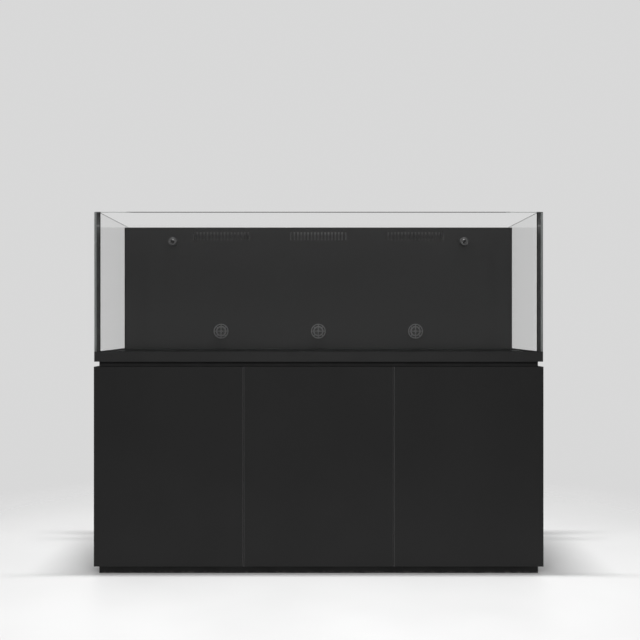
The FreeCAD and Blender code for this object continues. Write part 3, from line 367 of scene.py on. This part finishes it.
def studio_floor_material():
    """A pale floor that fades into the backdrop tone away from the object."""
    s = Shader("studio_floor")
    distance = s.add("ShaderNodeVectorMath", {0: s.place}, operation="LENGTH").outputs["Value"]
    fade = s.remap(distance, *FLOOR_FADE, 0.0, 1.0)
    cloud = s.noise(1.1, 3.0)
    dark, pale = FLOOR_TONES
    colour = s.mix(s.spread(cloud, 0.0, 1.0), rgb(dark), rgb(pale))
    shader = s.principled(base_color=colour, roughness=s.spread(cloud, 0.4, 0.5),
                          normal=s.bump(s.noise(60.0, 3.0), 0.02, 1.0 * MM), specular_ior_level=0.3)
    clear = s.add("ShaderNodeBsdfTransparent")
    return s.finish(s.add("ShaderNodeMixShader", {0: fade, 1: shader.outputs[0], 2: clear.outputs[0]}))


MATERIALS = {
    # The doors' paler side faces are a painted highlight in their seams, and their darker top faces are
    # painted shade under the riser.
    "door_front": laminate("door_laminate", 0.0193, 0.46, 0.1, worn=0.1, painted_side_highlight=0.12, top=0.005),
    "plinth_board": matt_board("plinth_laminate", 0.005),
    # The riser's laminate is the plinth's made about twice as pale: painted light lifting the shade in the
    # gap under the tank.
    "riser_board": matt_board("riser_laminate_painted_light", 0.0105),
    # The carcass's darker top faces are painted shade under the riser.
    "carcass_board": laminate("carcass_laminate", 0.026, 0.55, top=0.006),
    "base_board": laminate("sealed_ply", 0.02, 0.6),
    "foam": foam("closed_cell_foam", 0.006),
    "base_trim": anodised("black_anodised", 0.0175),
    "clear_glass": clear_glass("float_glass", (0.999, 1.0, 0.9995, 1.0), 0.0, 0.010, 5.0),
    "black_glass": gloss_black("painted_glass", 0.022, 0.06, coat=0.6),
    # The beads' silicone is darker than the seams' copy of it: painted shade against the light the beads
    # catch from above.
    "silicone": rubber("black_silicone", 0.008, 0.7, 40.0, 0.1),
    # Painted paler towards the floor of the tank: painted light against the shade low on the rear panel.
    "black_acrylic": gloss_black("black_acrylic", 0.0240, 0.11, painted_foot_light=1.45),
    "strainer_plastic": moulded("strainer_plastic", 0.112, 0.34, edge_gain=1.3),
    "nozzle_plastic": moulded("nozzle_plastic", 0.051, 0.26),
    "black_plastic": moulded("black_plastic", 0.018, 0.5, 0.3),
    "pump_housing": moulded("pump_housing", 0.026, 0.45, 0.35, (0.95, 0.98, 1.05)),
    "rubber": rubber("black_rubber", 0.016),
    "impeller_plastic": moulded("impeller_plastic", 0.55, 0.4, 0.1, (1.0, 0.98, 0.94), 1.05),
    "basket_plastic": moulded("basket_plastic", 0.080, 0.45, edge_gain=1.3),
    "hinge_metal": plated("nickel_plate", 0.66, (1.0, 0.97, 0.93)),
    "cam_metal": plated("zinc_plate", 0.5, (1.0, 1.0, 1.02), 0.36),
    "strike_metal": plated("zinc_strike", 0.55, (1.0, 1.0, 1.02), 0.32),
    "latch_plastic": moulded("latch_plastic", 0.06, 0.5, 0.3),
}
POLISHED_EDGE = clear_glass("polished_edge", (0.93, 0.96, 0.95, 1.0), 0.0, 0.02, 140.0)
GROUND_EDGE = ground_glass("ground_edge", 0.26)
# The seams' silicone: paler than the beads' copy of it as painted light, with a painted reflection as a pale
# line near the rim.
SEAM_SILICONE_PAINTED_LIGHT = rubber("seam_silicone_painted_light", 0.030, 0.62, 40.0, 0.2, painted_line_tone=0.18)
# The centre basket is the side baskets' plastic made paler: painted light that brightens the middle comb's
# slots.
CENTRE_BASKET_PAINTED_LIGHT = moulded("centre_basket_painted_light", 0.120, 0.45, edge_gain=1.3)
# The floor pane is the same glass tinted far darker: painted shade on the strip along the floor of the tank.
FLOOR_PANE_PAINTED_SHADE = clear_glass("floor_pane", (0.70, 0.74, 0.72, 1.0), 0.02, 0.06, 9.0, 0.15, 0.0)


# ---- pieces ----------------------------------------------------------------------------
FRONT_ARRIS = 1.5 * MM           # chamfer along the free edges of the front pane
SIDE_ARRIS = 0.8 * MM            # and of the side and floor panes
WET = 0.15 * MM                  # how far the silicone wets into the glass it touches
BEVEL_SEGMENTS = 2
BEVEL_ANGLE = 40.0               # edges that turn further than this are rounded
SMOOTH_ANGLE = 35.0
FLAT_ANGLE = 0.5                 # faces that turn less than this are one face
MERGE_DISTANCE = 1e-6
POLISHED_FACE = 1                # material slots of a pane, whose slot 0 is the glass itself
GROUND_FACE = 2


def link(mesh, name):
    piece = bpy.data.objects.new(name, mesh)
    bpy.context.scene.collection.objects.link(piece)
    return piece


def shade_smooth(mesh, degrees=SMOOTH_ANGLE):
    mesh.polygons.foreach_set("use_smooth", [True] * len(mesh.polygons))
    mesh.set_sharp_from_angle(angle=math.radians(degrees))


def add_bevel(piece, width):
    """Rounds the sharp edges, and keeps the flat faces shaded flat."""
    bevel = piece.modifiers.new("edges", "BEVEL")
    bevel.width = width
    bevel.segments = BEVEL_SEGMENTS
    bevel.limit_method = "ANGLE"
    bevel.angle_limit = math.radians(BEVEL_ANGLE)
    weighted = piece.modifiers.new("flat_faces", "WEIGHTED_NORMAL")
    weighted.keep_sharp = True


def softened(node, width, look=None):
    """The node's own shape with its sharp edges rounded, standing for the node."""
    mesh = NODES[node].data.copy()
    shape = bmesh.new()
    shape.from_mesh(mesh)
    bmesh.ops.remove_doubles(shape, verts=shape.verts, dist=MERGE_DISTANCE)
    bmesh.ops.dissolve_limit(shape, angle_limit=math.radians(FLAT_ANGLE), verts=shape.verts,
                             edges=shape.edges)
    shape.to_mesh(mesh)
    shape.free()
    mesh.materials.clear()
    mesh.materials.append(look or MATERIALS[SLOT_OF[node]])
    piece = link(mesh, node + "_finished")
    shade_smooth(mesh)
    add_bevel(piece, width)
    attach(piece, BODY_OF[node])
    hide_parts(node)
    return piece


def dress_cad_nodes():
    """Every carried-over node gets its slot's material."""
    for node, piece in NODES.items():
        material = MATERIALS[SLOT_OF[node]]
        if not piece.data.materials:
            piece.data.materials.append(material)
        for index in range(len(piece.data.materials)):
            piece.data.materials[index] = material


def pane(node, material, arris=SIDE_ARRIS):
    """A glass pane with arrised edges: polished along the top, ground at the other edges."""
    low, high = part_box(node)
    shape = bmesh.new()
    bmesh.ops.create_cube(shape, size=1.0)
    size = high - low
    for vert in shape.verts:
        vert.co = Vector([low[i] + (vert.co[i] + 0.5) * size[i] for i in range(3)])
    foot = low.z + WET
    free = [edge for edge in shape.edges if max(vert.co.z for vert in edge.verts) > foot]
    bmesh.ops.bevel(shape, geom=free, offset=arris, segments=1, affect="EDGES", clamp_overlap=True)
    thin = min(range(3), key=lambda axis: size[axis])
    mesh = bpy.data.meshes.new(node + "_pane")
    shape.normal_update()
    for face in shape.faces:
        if abs(face.normal[thin]) < 0.99:
            face.material_index = POLISHED_FACE if face.normal.z > 0.5 else GROUND_FACE
    shape.to_mesh(mesh)
    shape.free()
    for look in (material, POLISHED_EDGE, GROUND_EDGE):
        mesh.materials.append(look)
    piece = link(mesh, node + "_pane")
    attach(piece, ROOT)
    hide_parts(node)
    return piece


# ---- silicone --------------------------------------------------------------------------
BEAD = 3.5 * MM
BEAD_STEPS = 6                   # round the hollow of a bead
BEAD_HOLLOW = 0.72               # how deep the hollow is, as a share of the bead
BEAD_PITCH = 0.03                # between the rings along a bead
WAVER = 0.08                     # how much a hand-run bead varies in size
WAVER_RATE = 14.0
BEAD_BELOW_RIM = 1.0 * MM
SEAM_BELOW_RIM = 0.5 * MM
SEAM_WIDTH = 12.5 * MM           # of the pane's edge that the silicone covers
SILICONE_SMOOTH_ANGLE = 50.0
ALONG_X, ALONG_Y, ALONG_Z = range(3)
BEAD_LOOK, SEAM_LOOK = range(2)


def add_block(shape, low, high, look=BEAD_LOOK):
    """A box from its lowest to its highest corner."""
    for vert in bmesh.ops.create_cube(shape, size=1.0)["verts"]:
        vert.co = Vector([low[i] + (vert.co[i] + 0.5) * (high[i] - low[i]) for i in range(3)])
        for face in vert.link_faces:
            face.material_index = look


def bead_profile(reach):
    """A hollow fillet in the corner at the origin, reaching along both axes."""
    points = [(-WET, -WET), (reach, -WET)]
    for step in range(BEAD_STEPS + 1):
        angle = math.pi / 2 * step / BEAD_STEPS
        turned = step / BEAD_STEPS
        across = 1 - BEAD_HOLLOW * math.sin(angle) - (1 - BEAD_HOLLOW) * turned
        up = 1 - BEAD_HOLLOW * math.cos(angle) - (1 - BEAD_HOLLOW) * (1 - turned)
        points.append((reach * max(across, 0.0), reach * max(up, 0.0)))
    points.append((-WET, reach))
    return points


def add_bead(shape, corner, side_u, side_v, along, length, seed):
    """Sweeps the fillet along one axis, with the small waver of a hand-run bead.

    side_u and side_v say on which sides of the corner it lies, and seed where its waver starts."""
    axes = [Vector((1, 0, 0)), Vector((0, 1, 0)), Vector((0, 0, 1))]
    w = axes[along]
    u, v = [axes[i] for i in range(3) if i != along]
    steps = max(4, int(length / BEAD_PITCH))
    rings = []
    for index in range(steps + 1):
        t = length * index / steps
        waver = 1.0 + WAVER * noise.noise(Vector((t * WAVER_RATE, seed, 0.0)))
        ring = []
        for a, b in bead_profile(BEAD * waver):
            ring.append(shape.verts.new(corner + u * (side_u * a) + v * (side_v * b) + w * t))
        rings.append(ring)
    count = len(rings[0])
    for near, far in zip(rings, rings[1:]):
        for i in range(count):
            j = (i + 1) % count
            shape.faces.new((near[i], near[j], far[j], far[i]))
    shape.faces.new(rings[0])
    shape.faces.new(rings[-1])


def silicone():
    """The silicone between the panes and under the weir, and the beads in the inner corners."""
    front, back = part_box("front_glass"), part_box("back_glass")
    left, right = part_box("left_glass"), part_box("right_glass")
    weir_low, weir_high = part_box("weir_panel")
    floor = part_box("bottom_glass")[1].z
    foot, rim = front[0].z, front[1].z
    inner_front, inner_back = front[1].y, back[0].y
    shape = bmesh.new()
    base_low, base_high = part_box("bottom_glass")
    for y0, y1 in ((base_low.y, inner_front), (inner_back, base_high.y)):
        add_block(shape, (base_low.x, y0, floor - WET), (base_high.x, y1, foot + WET))
    for x0, x1 in ((base_low.x, left[1].x), (right[0].x, base_high.x)):
        add_block(shape, (x0, inner_front, floor - WET), (x1, inner_back, foot + WET))
    add_block(shape, (left[1].x, weir_low.y, floor - WET), (right[0].x, weir_high.y, foot + WET))
    for side, inner_x in ((-1, left[1].x), (1, right[0].x)):
        for y, end in ((inner_front, left[0].y), (inner_back, left[1].y)):
            towards = 1 if end > y else -1
            xs = sorted((inner_x, inner_x + side * SEAM_WIDTH))
            ys = sorted((y - towards * WET, end + towards * WET))
            add_block(shape, (xs[0], ys[0], foot), (xs[1], ys[1], rim - SEAM_BELOW_RIM), SEAM_LOOK)
            corner = Vector((inner_x, y, floor))
            height = rim - BEAD_BELOW_RIM - floor
            add_bead(shape, corner, -side, towards, ALONG_Z, height, side * 3 + y * 50)
        weir_end = sorted((inner_x + side * WET, weir_high.x * side))
        add_block(shape, (weir_end[0], weir_low.y, foot), (weir_end[1], weir_high.y, weir_high.z))
        corner = Vector((inner_x, weir_low.y, floor))
        add_bead(shape, corner, -side, -1, ALONG_Z, weir_high.z - floor, side * 5 + 0.5)
        corner = Vector((inner_x, inner_front, floor))
        add_bead(shape, corner, -side, 1, ALONG_Y, weir_low.y - inner_front, side * 7)
    span = right[0].x - left[1].x
    add_bead(shape, Vector((left[1].x, inner_front, floor)), 1, 1, ALONG_X, span, 11.0)
    add_bead(shape, Vector((left[1].x, weir_low.y, floor)), -1, 1, ALONG_X, span, 13.0)
    bmesh.ops.recalc_face_normals(shape, faces=shape.faces)
    mesh = bpy.data.meshes.new("silicone_beads")
    shape.to_mesh(mesh)
    shape.free()
    mesh.materials.append(MATERIALS["silicone"])
    mesh.materials.append(SEAM_SILICONE_PAINTED_LIGHT)
    shade_smooth(mesh, SILICONE_SMOOTH_ANGLE)
    piece = link(mesh, "silicone_beads")
    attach(piece, ROOT)
    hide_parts("silicone_seams")


BASKETS = ("left_filter_basket", "centre_filter_basket", "right_filter_basket")
WIRE = 0.8 * MM
WIRE_PITCH = 4.0 * MM
SCREEN_R = 21.0 * MM             # inside the strainer's stem
SCREEN_DEPTH = 2.0 * MM          # behind the face of the weir
SOFT_PLASTIC = 0.4 * MM          # rounding of plastic and metal edges, and of boards
SOFT_BOARD = 0.5 * MM


def strainers():
    """The grilles, each with a woven screen across its stem just behind the face of the weir."""
    piece = softened("strainer_grilles", SOFT_PLASTIC)
    low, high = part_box("strainer_grilles")
    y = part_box("weir_panel")[0].y + SCREEN_DEPTH
    z = (low.z + high.z) / 2
    half = WIRE / 2
    rows = int(SCREEN_R / WIRE_PITCH)
    shape = bmesh.new()
    shape.from_mesh(piece.data)
    for basket in BASKETS:
        x = sum(corner.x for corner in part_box(basket)) / 2
        for row in range(-rows, rows + 1):
            off = row * WIRE_PITCH
            reach = math.sqrt(SCREEN_R ** 2 - off ** 2)
            add_block(shape, (x - reach, y, z + off - half), (x + reach, y + WIRE, z + off + half))
            upright = x + off
            add_block(shape, (upright - half, y + half, z - reach),
                      (upright + half, y + half + WIRE, z + reach))
    shape.to_mesh(piece.data)
    shape.free()


def foam_under_glass():
    """The mat under the floor pane, pressed against it."""
    low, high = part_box("foam_mat")
    shape = bmesh.new()
    add_block(shape, low, (high.x, high.y, high.z + WET))
    mesh = bpy.data.meshes.new("foam_mat_pressed")
    shape.to_mesh(mesh)
    shape.free()
    mesh.materials.append(MATERIALS["foam"])
    piece = link(mesh, "foam_mat_pressed")
    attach(piece, ROOT)
    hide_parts("foam_mat")


SOFT_EDGES = {
    SOFT_BOARD: ("plinth_front", "plinth_back", "plinth_cross_boards", "bottom_panel", "top_panel",
                 "back_panel", "back_rail", "left_side_panel", "right_side_panel", "left_partition",
                 "right_partition", "riser_board", "tank_base_board", "weir_panel", "rear_baffles",
                 "back_glass"),
    SOFT_PLASTIC: ("front_base_trim", "back_base_trim", "side_base_trims", "bulkhead_nuts",
                   "left_filter_basket", "right_filter_basket", "pump_bodies", "pump_covers",
                   "latch_housings", "hinge_arms"),
}


def build_pieces():
    dress_cad_nodes()
    for width, nodes in SOFT_EDGES.items():
        for node in nodes:
            softened(node, width)
    softened("centre_filter_basket", SOFT_PLASTIC, CENTRE_BASKET_PAINTED_LIGHT)
    pane("front_glass", MATERIALS["clear_glass"], FRONT_ARRIS)
    for node in ("left_glass", "right_glass"):
        pane(node, MATERIALS["clear_glass"])
    pane("bottom_glass", FLOOR_PANE_PAINTED_SHADE)
    strainers()
    silicone()
    foam_under_glass()


# ---- studio ----------------------------------------------------------------------------
def studio_floor():
    bpy.ops.mesh.primitive_plane_add(size=FLOOR_SIZE, location=(0, 0, 0))
    floor = bpy.context.object
    floor.name = "studio_floor"
    floor.data.materials.append(studio_floor_material())


def area_light(name, place, target, size, watts):
    data = bpy.data.lights.new(name, "AREA")
    data.shape = "RECTANGLE"
    data.size, data.size_y = size
    data.energy = watts
    lamp = bpy.data.objects.new(name, data)
    lamp.location = place
    lamp.rotation_euler = (Vector(target) - Vector(place)).to_track_quat("-Z", "Y").to_euler()
    bpy.context.scene.collection.objects.link(lamp)


def world_light():
    """The backdrop for straight and refracted rays, a room that is dimmer in front for mirrored
    rays, and an even light for matt surfaces."""
    world = bpy.data.worlds.new("studio")
    bpy.context.scene.world = world
    world.use_nodes = True
    nodes, links = world.node_tree.nodes, world.node_tree.links
    nodes.clear()
    output = nodes.new("ShaderNodeOutputWorld")
    seen = nodes.new("ShaderNodeBackground")
    seen.inputs["Color"].default_value = BACKDROP_TONE
    direction = nodes.new("ShaderNodeTexCoord").outputs["Generated"]
    ramp = nodes.new("ShaderNodeMapRange")
    ramp.interpolation_type = "SMOOTHSTEP"
    split = nodes.new("ShaderNodeSeparateXYZ")
    links.new(direction, split.inputs[0])
    links.new(split.outputs["Y"], ramp.inputs["Value"])
    ramp.inputs["From Min"].default_value, ramp.inputs["From Max"].default_value = ROOM_FADE
    ramp.inputs["To Min"].default_value = ROOM_FRONT
    ramp.inputs["To Max"].default_value = ROOM_BACK
    path = nodes.new("ShaderNodeLightPath")
    gathered = nodes.new("ShaderNodeMix")
    links.new(path.outputs["Is Diffuse Ray"], gathered.inputs["Factor"])
    links.new(ramp.outputs["Result"], gathered.inputs["A"])
    gathered.inputs["B"].default_value = ROOM_LIGHT
    room = nodes.new("ShaderNodeBackground")
    links.new(gathered.outputs["Result"], room.inputs["Strength"])
    bounces = nodes.new("ShaderNodeMath")
    links.new(path.outputs["Glossy Depth"], bounces.inputs[0])
    links.new(path.outputs["Diffuse Depth"], bounces.inputs[1])
    direct = nodes.new("ShaderNodeMath")
    direct.operation = "LESS_THAN"
    links.new(bounces.outputs[0], direct.inputs[0])
    direct.inputs[1].default_value = NO_BOUNCE
    mix = nodes.new("ShaderNodeMixShader")
    links.new(direct.outputs[0], mix.inputs[0])
    links.new(room.outputs[0], mix.inputs[1])
    links.new(seen.outputs[0], mix.inputs[2])
    links.new(mix.outputs[0], output.inputs["Surface"])


def camera():
    data = bpy.data.cameras.new("camera")
    data.lens = LENS_MM
    data.sensor_width = SENSOR_MM
    data.shift_x, data.shift_y = SHIFT
    view = bpy.data.objects.new("camera", data)
    view.location = (CAMERA_X, cad_low.y - CAMERA_DISTANCE, CAMERA_HEIGHT)
    view.rotation_euler = (math.radians(90), 0, 0)
    bpy.context.scene.collection.objects.link(view)
    bpy.context.scene.camera = view


def studio():
    studio_floor()
    world_light()
    for light in LIGHTS:
        area_light(*light)
    camera()
    bpy.context.scene.view_settings.view_transform = "Standard"


build_pieces()
studio()
